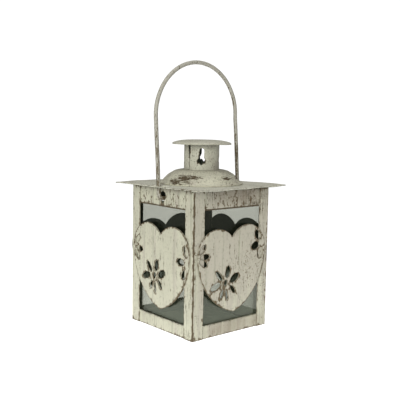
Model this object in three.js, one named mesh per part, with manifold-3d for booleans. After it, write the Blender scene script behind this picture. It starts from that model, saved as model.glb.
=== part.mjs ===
// Candle lantern: a square sheet-metal body with glass sides and heart ornaments, a loose roof
// with a vented chimney that slides up a wire bail, and the bail itself.
//
// Millimetres, +Z up, origin at the centre of the base. The front of the lantern faces -Y, and
// the bail is hinged in the left and right walls, which face -X and +X.
//
// Each wall is drawn as the front wall, facing -Y with x running along it, and then turned
// about Z in quarter turns to become the right, back and left walls.

import * as THREE from 'three';
import * as BufferGeometryUtils from 'three/addons/utils/BufferGeometryUtils.js';
import Module from 'manifold-3d';

const wasm = await Module();
wasm.setup();

// ---- Driving dimensions ---------------------------------------------------------------------

const BODY_HALF = 35; // outer half width of the square body
const WALL_TOP = 101.6; // height of the body, where the roof rests
const SHEET = 0.6; // thickness of the body's sheet metal

const POST_FLANGE = 9.3; // visible width of a corner post on each face
const FOLD_RADIUS = 0.9; // outside radius of a post's fold
const WINDOW_BOTTOM = 9.4;
const WINDOW_TOP = 87.7;

const LAP_GAP = 0.05; // between a post's flange and the rail lapped behind it
const RAIL_HALF_LENGTH = 33.6;
const HEM = 1.2; // height of the fold along a bottom rail's window edge
const TOP_HEM = 4; // the same fold of a top rail, which also backs the lower part of the bail's eye
const TOP_FLANGE_REACH = 3.95; // how far a top rail's flange runs inward
const TOP_FLANGE_HALF_LENGTH = 29.9;

const PAN_HALF = 33.65; // floor pan, outer half width
const PAN_RIM_HEIGHT = 5.6;

const PANE_THICKNESS = 1.4;
const PANE_HALF_WIDTH = 31.2;
const PANE_TOP = 91.4;
const PANE_FACE = 32.9; // distance of a pane's outer face from the centre
const CLIP_FACE = 31.3; // distance of a glass clip's outer face from the centre
const CLIP_LEG = 5.3;
const CLIP_SHEET = 0.5;
const LOWER_CLIP = [0.7, 8]; // bottoms and tops of the clips, which stay behind the rails
const UPPER_CLIP = [88.6, 100.9];
const SMALL_GAP = 0.1; // between pieces that rest on each other

const HEART = { sheet: 0.8, lobeX: 14.1, lobeZ: 57.7, lobeRadius: 17.7, sideRadius: 44.2 };
const HEART_STANDOFF = 0.1;
const HEART_RIM = 1.4; // metal left between a cut-out and the heart's edge

const ROOF_HALF = 43.5;
const ROOF_SHEET = 0.8;
const ROOF_OPENING_RADIUS = 24;
const DOME_RADIUS = 30.1;
const DOME_HEIGHT = 10.3;
const DOME_SHEET = 0.7;
const CHIMNEY_RADIUS = 12.7;
const CHIMNEY_TOP = 132.1;
const CHIMNEY_INSERTION = 2.2; // length of chimney below the dome's crown
const CHIMNEY_SEAM = 0.9; // open seam of the rolled tube
const SEAM_BEARING = THREE.MathUtils.degToRad(185.6);
// Bearings of the chimney's vents in degrees, and how far each is raised.
const VENTS = [
  { bearing: 41.6, up: 1.6 },
  { bearing: 135, up: 0 },
  { bearing: 227.5, up: 0 },
  { bearing: 315, up: 0 },
];
const STACK_SHIFT = [0.4, -0.3]; // the dome and its chimney sit a little off the plate's centre
const CAP_RADIUS = 21.3;
const CAP_RIM_BOTTOM = 130.8;
const CAP_RIM_HEIGHT = 1.2;
const CAP_CROWN = 2; // rise of the cap from its rim to its centre
const CAP_SHEET = 0.8;

const WIRE_RADIUS = 1.55;
const BAIL_HALF = 37.5; // from the centre to a leg of the bail
const BAIL_PIVOT_Z = 93.7;
const BAIL_LEG_TOP = 151.3;
const BAIL_BEND = 3; // radius of the bend into the wall
const BAIL_END = 31; // distance of the wire's inner end from the centre
const BAIL_LEAN = THREE.MathUtils.degToRad(4.6); // the bail rests leaning towards +Y
const ARCH_LEAN = THREE.MathUtils.degToRad(5.2); // how far its arch is bent back from the legs

const EYE = { centreZ: 95.2, radius: 3.3, pointZ: 89.6 }; // teardrop hole for the bail's end
const ROOF_SLOT = { halfLength: 8.4, radius: 2.1 }; // slots that the bail's legs pass through
const ROOF_TURN = THREE.MathUtils.degToRad(3); // the loose roof sits slightly turned on the body

const ROUND_SEGMENTS = 48;
const BAIL_STEPS = 96;
const WIRE_SIDES = 8;

// Petals of the flower in the middle of a heart: bearing from the flower's centre and turn of
// the petal itself in degrees, then its reach from the centre, length and width.
const DAISY = [
  { bearing: 15, turn: 28, reach: 8.6, length: 9.2, width: 5.2 },
  { bearing: 73, turn: 75, reach: 7.8, length: 8.4, width: 4.4 },
  { bearing: 135, turn: 128, reach: 8.3, length: 8.9, width: 3.4 },
  { bearing: 187, turn: 198, reach: 9.4, length: 9.4, width: 4.8 },
  { bearing: 243, turn: 250, reach: 8.2, length: 6.8, width: 2.7 },
  { bearing: 275, turn: 277, reach: 8.6, length: 7.8, width: 2.1 },
  { bearing: 320, turn: 305, reach: 8.5, length: 7.4, width: 2.7 },
  { bearing: 0, turn: 80, reach: 0, length: 4.4, width: 3 },
];

// Petals of a flower that the heart's edge cuts through, listed by bearing.
const edgePetals = (bearings, width, reach) =>
  bearings.map((bearing) => ({ bearing, turn: bearing, reach, length: 8, width }));

// The front and back hearts share one set of flowers. The left heart has the other, and the right
// heart has it in mirror image.
const FRONT_FLOWERS = [
  { x: -7.2, z: 37.1, petals: DAISY },
  { x: -33, z: 58.5, petals: edgePetals([41, -2, -36], 3.8, 7.6) },
  { x: 29.6, z: 60.2, petals: edgePetals([125, 190, 250], 5.6, 7.6) },
];
const LEFT_FLOWERS = [
  { x: -6.4, z: 38.3, petals: DAISY },
  { x: -32, z: 55.6, petals: edgePetals([50, -4, -45], 3.8, 7.6) },
  { x: 31.2, z: 52.2, petals: edgePetals([113, 178, 237], 4.8, 8.8) },
];
const RIGHT_FLOWERS = [
  { x: -6.4, z: 38.3, petals: DAISY },
  { x: -37.5, z: 55.6, petals: edgePetals([50, -4, -45], 3.8, 7.6) },
  { x: 37.5, z: 52.2, petals: edgePetals([113, 178, 237], 4.8, 7.6) },
];

// ---- Materials ------------------------------------------------------------------------------

const paint = (color) => new THREE.MeshStandardMaterial({ color, roughness: 0.75, metalness: 0.1 });
const bodyPaint = () => paint(0xc9c5b1);
const heartPaint = () => paint(0xcfcbb9);
const roofPaint = () => paint(0xb5b19e);
const bailPaint = () => paint(0xb3ab98);
const floorPaint = () => paint(0x6f7366);
const bareSteel = () => new THREE.MeshStandardMaterial({ color: 0x55564f, roughness: 0.6, metalness: 0.6 });
const glass = () =>
  new THREE.MeshStandardMaterial({ color: 0xc9d0cd, roughness: 0.08, transparent: true, opacity: 0.3 });

// ---- Helpers --------------------------------------------------------------------------------

function toSolid(geometry) {
  const bare = geometry.clone();
  bare.deleteAttribute('normal');
  bare.deleteAttribute('uv');
  const merged = BufferGeometryUtils.mergeVertices(bare, 1e-4);
  return new wasm.Manifold(
    new wasm.Mesh({
      numProp: 3,
      vertProperties: Float32Array.from(merged.attributes.position.array),
      triVerts: Uint32Array.from(merged.index.array),
    }),
  );
}

function toGeometry(solid) {
  const mesh = solid.getMesh();
  const geometry = new THREE.BufferGeometry();
  geometry.setAttribute('position', new THREE.BufferAttribute(mesh.vertProperties, 3));
  geometry.setIndex(new THREE.BufferAttribute(mesh.triVerts, 1));
  geometry.computeVertexNormals();
  return geometry;
}

function namedMesh(name, geometry, material) {
  const mesh = new THREE.Mesh(geometry, material);
  mesh.name = name;
  return mesh;
}

// A box given by its two extreme corners.
function boxBetween(low, high) {
  const geometry = new THREE.BoxGeometry(high[0] - low[0], high[1] - low[1], high[2] - low[2]);
  geometry.translate((low[0] + high[0]) / 2, (low[1] + high[1]) / 2, (low[2] + high[2]) / 2);
  return geometry;
}

// A plate that stands in the front wall: the shape's x and y become x and z, and its inner face
// is at the given distance from the centre.
function wallPlate(shape, innerFace, thickness, curveSegments = 12) {
  const geometry = new THREE.ExtrudeGeometry(shape, { depth: thickness, bevelEnabled: false, curveSegments });
  geometry.rotateX(Math.PI / 2);
  geometry.translate(0, -innerFace, 0);
  return geometry;
}

function rectangle(left, bottom, right, top) {
  return new THREE.Shape([
    new THREE.Vector2(left, bottom),
    new THREE.Vector2(right, bottom),
    new THREE.Vector2(right, top),
    new THREE.Vector2(left, top),
  ]);
}

function revolve(profile) {
  const points = profile.map(([radius, z]) => new THREE.Vector2(radius, z));
  const geometry = new THREE.LatheGeometry([...points, points[0].clone()], ROUND_SEGMENTS);
  geometry.rotateX(Math.PI / 2);
  return geometry;
}

// ---- Body -----------------------------------------------------------------------------------

// A corner post is a folded angle, drawn at the front left corner.
function postGeometry() {
  const outer = -BODY_HALF;
  const inner = outer + SHEET;
  const end = outer + POST_FLANGE;
  const shape = new THREE.Shape();
  shape.moveTo(end, outer);
  shape.lineTo(end, inner);
  shape.lineTo(inner, inner);
  shape.lineTo(inner, end);
  shape.lineTo(outer, end);
  shape.lineTo(outer, outer + FOLD_RADIUS);
  shape.absarc(outer + FOLD_RADIUS, outer + FOLD_RADIUS, FOLD_RADIUS, Math.PI, 1.5 * Math.PI, false);
  shape.closePath();
  return new THREE.ExtrudeGeometry(shape, { depth: WALL_TOP, bevelEnabled: false, curveSegments: 3 });
}

const RAIL_FACE = BODY_HALF - SHEET - LAP_GAP; // outer face of a rail
const RAIL_BACK = RAIL_FACE - SHEET;

function bailEye() {
  const drop = EYE.centreZ - EYE.pointZ;
  const taper = Math.asin(EYE.radius / drop);
  const path = new THREE.Path();
  path.absarc(0, EYE.centreZ, EYE.radius, -taper, Math.PI + taper, false);
  path.lineTo(0, EYE.pointZ);
  path.closePath();
  return path;
}

// The hem is the strip of sheet folded back inside the rail along the window. It is sunk half
// way into the rail, so that the two make one solid.
function railHem(bottom, top) {
  const half = BODY_HALF - POST_FLANGE;
  return boxBetween([-half, -RAIL_FACE + SHEET / 2, bottom], [half, -RAIL_BACK + SHEET, top]);
}

function topRailGeometry(withEye) {
  const shape = rectangle(-RAIL_HALF_LENGTH, WINDOW_TOP, RAIL_HALF_LENGTH, WALL_TOP);
  if (withEye) {
    shape.holes.push(bailEye());
  }
  const plate = toSolid(wallPlate(shape, RAIL_BACK, SHEET, 10));
  const flange = boxBetween(
    [-TOP_FLANGE_HALF_LENGTH, -RAIL_FACE, WALL_TOP - SHEET],
    [TOP_FLANGE_HALF_LENGTH, -RAIL_FACE + TOP_FLANGE_REACH, WALL_TOP],
  );
  return toGeometry(plate.add(toSolid(flange)).add(toSolid(railHem(WINDOW_TOP, WINDOW_TOP + TOP_HEM))));
}

function bottomRailGeometry() {
  const shape = rectangle(-RAIL_HALF_LENGTH, 0, RAIL_HALF_LENGTH, WINDOW_BOTTOM);
  const plate = toSolid(wallPlate(shape, RAIL_BACK, SHEET));
  return toGeometry(plate.add(toSolid(railHem(WINDOW_BOTTOM - HEM, WINDOW_BOTTOM))));
}

function floorPanGeometry() {
  const outer = boxBetween([-PAN_HALF, -PAN_HALF, 0], [PAN_HALF, PAN_HALF, PAN_RIM_HEIGHT]);
  const inside = PAN_HALF - SHEET;
  const hollow = boxBetween([-inside, -inside, SHEET], [inside, inside, PAN_RIM_HEIGHT + 1]);
  return toGeometry(toSolid(outer).subtract(toSolid(hollow)));
}

function paneGeometry() {
  return boxBetween(
    [-PANE_HALF_WIDTH, -PANE_FACE, SHEET + SMALL_GAP],
    [PANE_HALF_WIDTH, -PANE_FACE + PANE_THICKNESS, PANE_TOP],
  );
}

// A glass clip stands in a corner behind two panes and keeps their edges against the posts.
function glassClipGeometry(bottom, top) {
  const outer = -CLIP_FACE;
  const inner = outer + CLIP_SHEET;
  const end = outer + CLIP_LEG;
  const shape = new THREE.Shape([
    new THREE.Vector2(outer, outer),
    new THREE.Vector2(end, outer),
    new THREE.Vector2(end, inner),
    new THREE.Vector2(inner, inner),
    new THREE.Vector2(inner, end),
    new THREE.Vector2(outer, end),
  ]);
  const geometry = new THREE.ExtrudeGeometry(shape, { depth: top - bottom, bevelEnabled: false });
  geometry.translate(0, 0, bottom);
  return geometry;
}

// ---- Hearts ---------------------------------------------------------------------------------

// Two round lobes above two long arcs that meet in a blunt point. An inset moves every arc
// inward by the same distance.
function heartShape(inset) {
  const lobe = HEART.lobeRadius - inset;
  const side = HEART.sideRadius - inset;
  const sideX = HEART.lobeX + HEART.lobeRadius - HEART.sideRadius;
  const cleft = Math.acos(-HEART.lobeX / lobe);
  const tip = Math.acos(-sideX / side);
  const shape = new THREE.Shape();
  shape.absarc(sideX, HEART.lobeZ, side, -tip, 0, false);
  shape.absarc(HEART.lobeX, HEART.lobeZ, lobe, 0, cleft, false);
  shape.absarc(-HEART.lobeX, HEART.lobeZ, lobe, Math.PI - cleft, Math.PI, false);
  shape.absarc(-sideX, HEART.lobeZ, side, Math.PI, Math.PI + tip, false);
  return shape;
}

function petalShape(flower, petal) {
  const bearing = THREE.MathUtils.degToRad(petal.bearing);
  const turn = THREE.MathUtils.degToRad(petal.turn);
  const x = flower.x + petal.reach * Math.cos(bearing);
  const z = flower.z + petal.reach * Math.sin(bearing);
  const shape = new THREE.Shape();
  shape.absellipse(x, z, petal.length / 2, petal.width / 2, 0, 2 * Math.PI, false, turn);
  return shape;
}

function heartGeometry(flowers, { tilt, across, up }) {
  const innerFace = BODY_HALF + HEART_STANDOFF;
  const plate = (shape, segments, margin) =>
    toSolid(wallPlate(shape, innerFace - margin, HEART.sheet + 2 * margin, segments));
  const inside = plate(heartShape(HEART_RIM), 14, 1);
  let heart = plate(heartShape(0), 14, 0);
  for (const flower of flowers) {
    for (const petal of flower.petals) {
      heart = heart.subtract(plate(petalShape(flower, petal), 5, 0.5).intersect(inside));
    }
  }
  const geometry = toGeometry(heart);
  const middle = (WINDOW_BOTTOM + WINDOW_TOP) / 2;
  geometry.translate(0, 0, -middle);
  geometry.rotateY(THREE.MathUtils.degToRad(-tilt));
  geometry.translate(across, 0, middle + up);
  return geometry;
}

// ---- Roof -----------------------------------------------------------------------------------

const ROOF_BOTTOM = WALL_TOP + SMALL_GAP;
const DOME_BOTTOM = ROOF_BOTTOM + ROOF_SHEET + SMALL_GAP;
const DOME_CROWN = DOME_BOTTOM + DOME_HEIGHT;

function roofSlot(centreX) {
  const straight = ROOF_SLOT.halfLength - ROOF_SLOT.radius;
  const path = new THREE.Path();
  path.absarc(centreX, straight, ROOF_SLOT.radius, 0, Math.PI, false);
  path.absarc(centreX, -straight, ROOF_SLOT.radius, Math.PI, 2 * Math.PI, false);
  path.closePath();
  return path;
}

function roofPlateGeometry() {
  const shape = rectangle(-ROOF_HALF, -ROOF_HALF, ROOF_HALF, ROOF_HALF);
  const opening = new THREE.Path();
  opening.absarc(0, 0, ROOF_OPENING_RADIUS, 0, 2 * Math.PI, false);
  shape.holes.push(opening, roofSlot(-BAIL_HALF), roofSlot(BAIL_HALF));
  const options = { depth: ROOF_SHEET, bevelEnabled: false, curveSegments: 10 };
  const geometry = new THREE.ExtrudeGeometry(shape, options);
  geometry.translate(0, 0, ROOF_BOTTOM);
  return geometry;
}

// A pressed dome: a narrow foot, a straight flank and a rounded shoulder round the chimney.
function domeGeometry() {
  const neck = CHIMNEY_RADIUS + SMALL_GAP;
  const shoulder = { radius: 16.5, drop: 0.35 };
  const crest = { radius: 19.2, drop: 1.1 };
  const flankTop = { radius: 21.9, drop: 2.7 };
  const flankFoot = { radius: 26.4, drop: 6.2 };
  const foot = { radius: DOME_RADIUS - 2, height: 1.6 };
  return revolve([
    [DOME_RADIUS - 2.9, DOME_BOTTOM],
    [DOME_RADIUS, DOME_BOTTOM],
    [DOME_RADIUS, DOME_BOTTOM + DOME_SHEET],
    [foot.radius, DOME_BOTTOM + foot.height],
    [flankFoot.radius, DOME_CROWN - flankFoot.drop],
    [flankTop.radius, DOME_CROWN - flankTop.drop],
    [crest.radius, DOME_CROWN - crest.drop],
    [shoulder.radius, DOME_CROWN - shoulder.drop],
    [neck, DOME_CROWN],
    [neck, DOME_CROWN - DOME_SHEET],
    [shoulder.radius - 0.1, DOME_CROWN - shoulder.drop - DOME_SHEET],
    [crest.radius - 0.4, DOME_CROWN - crest.drop - DOME_SHEET],
    [flankTop.radius - 0.5, DOME_CROWN - flankTop.drop - DOME_SHEET],
    [flankFoot.radius - 0.7, DOME_CROWN - flankFoot.drop - DOME_SHEET / 2],
  ]);
}

// A vent is a narrow slot that widens downward and ends in three small teeth. It is drawn in x
// and z, on the -Y side of the chimney.
function ventShape() {
  const top = 126.5;
  const shape = new THREE.Shape();
  shape.absarc(0, top, 1.7, 0, Math.PI, false);
  const left = [
    [-1.75, 122],
    [-2.3, 120.6],
    [-2.95, 119.4],
    [-2.6, 117.6],
    [-1.5, 118.1],
    [0, 115.9],
  ];
  left.forEach(([x, z]) => shape.lineTo(x, z));
  left.slice(0, -1).reverse().forEach(([x, z]) => shape.lineTo(-x, z));
  shape.closePath();
  return shape;
}

function chimneyGeometry() {
  const seam = CHIMNEY_SEAM / 2 / CHIMNEY_RADIUS;
  const start = SEAM_BEARING + seam;
  const end = SEAM_BEARING - seam + 2 * Math.PI;
  const shape = new THREE.Shape();
  shape.absarc(0, 0, CHIMNEY_RADIUS, start, end, false);
  shape.absarc(0, 0, CHIMNEY_RADIUS - SHEET, end, start, true);
  shape.closePath();
  const bottom = DOME_CROWN - CHIMNEY_INSERTION;
  const tube = new THREE.ExtrudeGeometry(shape, {
    depth: CHIMNEY_TOP - bottom,
    bevelEnabled: false,
    curveSegments: ROUND_SEGMENTS,
  });
  tube.translate(0, 0, bottom);
  let chimney = toSolid(tube);
  for (const { bearing, up } of VENTS) {
    const vent = wallPlate(ventShape(), CHIMNEY_RADIUS - 3, 6, 4);
    vent.rotateZ(THREE.MathUtils.degToRad(bearing + 90));
    vent.translate(0, 0, up);
    chimney = chimney.subtract(toSolid(vent));
  }
  return toGeometry(chimney);
}

function capGeometry() {
  const rimTop = CAP_RIM_BOTTOM + CAP_RIM_HEIGHT;
  const lift = (radius) => CAP_CROWN * (1 - (radius / CAP_RADIUS) ** 4);
  const rings = [0, 6, 11, 15.5, 19];
  const top = rings.map((radius) => [radius, rimTop + lift(radius)]);
  const under = rings.map((radius) => [radius, rimTop + lift(radius) - CAP_SHEET]);
  return revolve([
    ...under,
    [CAP_RADIUS - 0.9, CAP_RIM_BOTTOM],
    [CAP_RADIUS - 0.2, CAP_RIM_BOTTOM],
    [CAP_RADIUS, CAP_RIM_BOTTOM + 0.6],
    [CAP_RADIUS - 0.3, rimTop],
    ...top.reverse(),
  ]);
}

// ---- Bail -----------------------------------------------------------------------------------

// The bail's centre line, in a frame whose origin is on the hinge axis: in through the wall,
// round a small bend, up the leg and over a half circle, then the same again in mirror image.
// The half circle is bent back a little from the plane of the legs.
class BailCurve extends THREE.Curve {
  constructor() {
    super();
    this.entry = BAIL_HALF - BAIL_BEND - BAIL_END;
    this.bend = (BAIL_BEND * Math.PI) / 2;
    this.leg = BAIL_LEG_TOP - BAIL_PIVOT_Z - BAIL_BEND;
    this.arch = (BAIL_HALF * Math.PI) / 2;
  }

  getPoint(t, target = new THREE.Vector3()) {
    const side = t < 0.5 ? -1 : 1;
    const half = this.entry + this.bend + this.leg + this.arch;
    let along = Math.min(t, 1 - t) * 2 * half;
    if (along < this.entry) {
      return target.set(side * (BAIL_END + along), 0, 0);
    }
    along -= this.entry;
    if (along < this.bend) {
      const angle = along / BAIL_BEND;
      const x = BAIL_HALF - BAIL_BEND + BAIL_BEND * Math.sin(angle);
      return target.set(side * x, 0, BAIL_BEND * (1 - Math.cos(angle)));
    }
    along -= this.bend;
    if (along < this.leg) {
      return target.set(side * BAIL_HALF, 0, BAIL_BEND + along);
    }
    const angle = (along - this.leg) / BAIL_HALF;
    const rise = BAIL_HALF * Math.sin(angle);
    const back = -rise * Math.sin(ARCH_LEAN);
    const height = BAIL_BEND + this.leg + rise * Math.cos(ARCH_LEAN);
    return target.set(side * BAIL_HALF * Math.cos(angle), back, height);
  }
}

function bailGeometry() {
  const section = new THREE.Shape();
  section.absarc(0, 0, WIRE_RADIUS, 0, 2 * Math.PI, false);
  return new THREE.ExtrudeGeometry(section, {
    steps: BAIL_STEPS,
    extrudePath: new BailCurve(),
    curveSegments: WIRE_SIDES / 2,
  });
}

// ---- Assembly -------------------------------------------------------------------------------

const lantern = new THREE.Group();

// The bail is hinged in the left and right walls. The hearts sit a little crooked: each has a
// tilt in degrees and is moved along and up its wall.
const WALLS = [
  { side: 'front', corner: 'front_left', flowers: FRONT_FLOWERS, seat: { tilt: 2.9, across: 0, up: 0 } },
  { side: 'right', corner: 'front_right', flowers: RIGHT_FLOWERS, seat: { tilt: 0, across: 0, up: 0.8 } },
  { side: 'back', corner: 'back_right', flowers: FRONT_FLOWERS, seat: { tilt: -3.9, across: 2.2, up: -0.2 } },
  { side: 'left', corner: 'back_left', flowers: LEFT_FLOWERS, seat: { tilt: 0, across: 0, up: 0 } },
];

WALLS.forEach(({ side, corner, flowers, seat }, quarter) => {
  const wall = new THREE.Group();
  wall.rotation.z = (quarter * Math.PI) / 2;
  const hinged = side === 'left' || side === 'right';
  wall.add(
    namedMesh(`post_${corner}`, postGeometry(), bodyPaint()),
    namedMesh(`lower_clip_${corner}`, glassClipGeometry(...LOWER_CLIP), bareSteel()),
    namedMesh(`upper_clip_${corner}`, glassClipGeometry(...UPPER_CLIP), bareSteel()),
    namedMesh(`top_rail_${side}`, topRailGeometry(hinged), bodyPaint()),
    namedMesh(`bottom_rail_${side}`, bottomRailGeometry(), bodyPaint()),
    namedMesh(`pane_${side}`, paneGeometry(), glass()),
    namedMesh(`heart_${side}`, heartGeometry(flowers, seat), heartPaint()),
  );
  lantern.add(wall);
});

const roofPlate = namedMesh('roof_plate', roofPlateGeometry(), roofPaint());
roofPlate.rotation.z = ROOF_TURN;

const stack = new THREE.Group();
stack.position.set(...STACK_SHIFT, 0);
stack.add(
  namedMesh('roof_dome', domeGeometry(), roofPaint()),
  namedMesh('chimney', chimneyGeometry(), roofPaint()),
  namedMesh('chimney_cap', capGeometry(), roofPaint()),
);

lantern.add(namedMesh('floor_pan', floorPanGeometry(), floorPaint()), roofPlate, stack);

const bailHinge = new THREE.Group();
bailHinge.position.z = BAIL_PIVOT_Z;
bailHinge.rotation.x = -BAIL_LEAN;
bailHinge.add(namedMesh('bail', bailGeometry(), bailPaint()));
lantern.add(bailHinge);

export default lantern;
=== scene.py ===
"""A candle lantern in distressed cream paint: its finished surfaces and materials, round the CAD frame.

Lengths are in millimetres and in the frame's own axes until a mesh is made, and in metres after
that. Sheet metal is drawn flat, with its holes, and then folded or rolled into place.
"""
import math

import bpy
import numpy as np
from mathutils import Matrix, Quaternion, Vector, kdtree, noise
from mathutils.geometry import delaunay_2d_cdt


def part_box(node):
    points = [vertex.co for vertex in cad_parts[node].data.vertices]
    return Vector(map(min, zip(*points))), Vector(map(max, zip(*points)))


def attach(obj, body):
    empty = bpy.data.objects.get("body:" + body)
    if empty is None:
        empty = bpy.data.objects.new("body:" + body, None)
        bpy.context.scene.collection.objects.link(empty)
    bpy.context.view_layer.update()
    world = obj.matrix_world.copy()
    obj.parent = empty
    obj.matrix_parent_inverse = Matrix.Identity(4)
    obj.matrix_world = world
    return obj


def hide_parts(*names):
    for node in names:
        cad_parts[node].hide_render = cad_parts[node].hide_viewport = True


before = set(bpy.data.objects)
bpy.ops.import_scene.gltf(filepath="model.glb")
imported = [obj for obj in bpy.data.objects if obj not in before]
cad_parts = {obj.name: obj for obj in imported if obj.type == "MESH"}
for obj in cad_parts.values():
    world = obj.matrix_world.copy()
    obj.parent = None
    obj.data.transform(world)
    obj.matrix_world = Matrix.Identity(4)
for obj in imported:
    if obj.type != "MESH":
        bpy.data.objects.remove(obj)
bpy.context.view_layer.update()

# ---- Sizes ----------------------------------------------------------------------------------

MM = 0.001


def span(node):
    """The lowest and highest corner of a CAD node, in millimetres."""
    low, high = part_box(node)
    return low / MM, high / MM


POST_LOW, POST_HIGH = span("post_front_left")
TOP_RAIL_LOW, TOP_RAIL_HIGH = span("top_rail_front")
BOTTOM_RAIL_HIGH = span("bottom_rail_front")[1]
HEART_LOW, HEART_HIGH = span("heart_front")
PLATE_LOW, PLATE_HIGH = span("roof_plate")
DOME_LOW, DOME_HIGH = span("roof_dome")
CHIMNEY_LOW, CHIMNEY_HIGH = span("chimney")
CAP_LOW, CAP_HIGH = span("chimney_cap")
BAIL_HIGH = span("bail")[1]

BODY_HALF = -POST_LOW.x
WALL_TOP = POST_HIGH.z
POST_FLANGE = POST_HIGH.x - POST_LOW.x
SHEET = 0.6
POST_BEND = 0.6  # radius of the middle of the sheet in a post's fold
RAIL_FACE = -TOP_RAIL_LOW.y
RAIL_HALF = 32.9
RAIL_SHEET = 0.55
RAIL_MIDDLE = RAIL_FACE - RAIL_SHEET / 2
HEM_BEND = 0.325
HEM_OUTSIDE = HEM_BEND + RAIL_SHEET / 2
HEM_STRIP = 0.6  # flat part of a bottom rail's hem, behind the rail
TOP_HEM_STRIP = 3.3  # the same of a top rail's, which reaches up behind the bail's eye
WINDOW_TOP = TOP_RAIL_LOW.z
WINDOW_BOTTOM = BOTTOM_RAIL_HIGH.z
FLANGE_BEND = 0.6
FLANGE_REACH = RAIL_FACE + TOP_RAIL_HIGH.y
FLANGE_HALF = 29.9

EYE_CENTRE_Z = 95.2
EYE_RADIUS = 3.3
EYE_POINT_Z = 89.6

HEART_FACE = -HEART_LOW.y
HEART_SHEET = HEART_HIGH.y - HEART_LOW.y
LOBE_X = 14.1
LOBE_Z = 57.7
LOBE_RADIUS = 17.7
SIDE_RADIUS = 44.2
HEART_RIM = 1.4  # metal left between a cut-out and the heart's edge
HEART_BOW = 0.35  # how far the middle of a heart bulges outward
# How crooked the front, right, back and left hearts sit: tilt in degrees, then how far each is
# moved along and up its wall.
HEART_SEATS = [(2.9, 0, 0), (0, 0, 0.8), (-3.9, 2.2, -0.2), (0, 0, 0)]

ROOF_TURN = math.radians(3)
ROOF_HALF = PLATE_HIGH.x / (math.cos(ROOF_TURN) + math.sin(ROOF_TURN))
ROOF_SHEET = PLATE_HIGH.z - PLATE_LOW.z
ROOF_OPENING = 24
SLOT_X = 37.5
SLOT_HALF_LENGTH = 8.4
SLOT_RADIUS = 2.1

STACK = Vector(((DOME_LOW.x + DOME_HIGH.x) / 2, (DOME_LOW.y + DOME_HIGH.y) / 2, 0))  # axis of the dome
DOME_RADIUS = (DOME_HIGH.x - DOME_LOW.x) / 2
DOME_SHEET = 0.7
CHIMNEY_RADIUS = (CHIMNEY_HIGH.y - CHIMNEY_LOW.y) / 2
CHIMNEY_SHEET = 0.6
SEAM_TOP = 2  # the chimney's seam gapes at the top and closes part of the way down
SEAM_FOOT = 0.3
SEAM_CLOSED_Z = 118
SEAM_BEARING = 185.6
VENTS = [(41.6, 1.6), (135, 0), (227.5, 0), (315, 0)]  # bearing of each vent and how far it is raised
CAP_RADIUS = (CAP_HIGH.x - CAP_LOW.x) / 2
CAP_CROWN = 2
CAP_SHEET = 0.8

WIRE_RADIUS = 1.55
BAIL_HALF = BAIL_HIGH.x - WIRE_RADIUS
BAIL_PIVOT_Z = 93.7
BAIL_LEG_TOP = 151.3
BAIL_BEND = 3
BAIL_END = 31
BAIL_SIDES = 20
BAIL_SPACING = 1.2
BAIL_LEAN = math.radians(4.6)
ARCH_LEAN = math.radians(5.2)  # how far the bail's arch is bent back from its legs

# Petals of a heart's whole flower: bearing from the flower's centre, turn of the petal itself,
# reach from the centre, length and width.
DAISY = [
    (15, 28, 8.6, 9.2, 5.2),
    (73, 75, 7.8, 8.4, 4.4),
    (135, 128, 8.3, 8.9, 3.4),
    (187, 198, 9.4, 9.4, 4.8),
    (243, 250, 8.2, 6.8, 2.7),
    (275, 277, 8.6, 7.8, 2.1),
    (320, 305, 8.5, 7.4, 2.7),
    (0, 80, 0, 4.4, 3),
]


def edge_petals(bearings, width, reach):
    """Petals of a flower that the heart's edge cuts through."""
    return [(bearing, bearing, reach, 8, width) for bearing in bearings]


FRONT_FLOWERS = [
    (-7.2, 37.1, DAISY),
    (-33, 58.5, edge_petals((41, -2, -36), 3.8, 7.6)),
    (29.6, 60.2, edge_petals((125, 190, 250), 5.6, 7.6)),
]
LEFT_FLOWERS = [
    (-6.4, 38.3, DAISY),
    (-32, 55.6, edge_petals((50, -4, -45), 3.8, 7.6)),
    (31.2, 52.2, edge_petals((113, 178, 237), 4.8, 8.8)),
]
RIGHT_FLOWERS = [
    (-6.4, 38.3, DAISY),
    (-37.5, 55.6, edge_petals((50, -4, -45), 3.8, 7.6)),
    (37.5, 52.2, edge_petals((113, 178, 237), 4.8, 7.6)),
]
FLOWERS = [FRONT_FLOWERS, RIGHT_FLOWERS, FRONT_FLOWERS, LEFT_FLOWERS]  # front, right, back, left

# ---- Flat outlines --------------------------------------------------------------------------


def arc(centre_x, centre_y, radius, start, end, steps):
    """Points of an arc, its angles in radians, with both ends."""
    angles = np.linspace(start, end, steps + 1)
    return np.column_stack((centre_x + radius * np.cos(angles), centre_y + radius * np.sin(angles)))


def closed(*runs):
    """One loop from runs of points, without points that repeat."""
    points = np.vstack([np.asarray(run, float).reshape(-1, 2) for run in runs])
    steps = np.linalg.norm(points - np.roll(points, 1, axis=0), axis=1)
    return points[steps > 0.02]


def refine(loop, longest):
    """The loop with extra points on every side longer than the given length."""
    points = []
    for start, end in zip(loop, np.roll(loop, -1, axis=0)):
        parts = max(1, math.ceil(np.linalg.norm(end - start) / longest))
        points += [start + (end - start) * step / parts for step in range(parts)]
    return np.array(points)


def rectangle(left, bottom, right, top):
    return np.array([(left, bottom), (right, bottom), (right, top), (left, top)], float)


def split_at(loop, creases):
    """The loop with a point wherever a side crosses a crease, a line of constant first coordinate."""
    points = []
    for start, end in zip(loop, np.roll(loop, -1, axis=0)):
        points.append(start)
        run = end[0] - start[0]
        if abs(run) < 1e-6:
            continue
        crossings = sorted((crease - start[0]) / run for crease in creases)
        points += [start + (end - start) * at for at in crossings if 1e-4 < at < 1 - 1e-4]
    return np.array(points)


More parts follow.
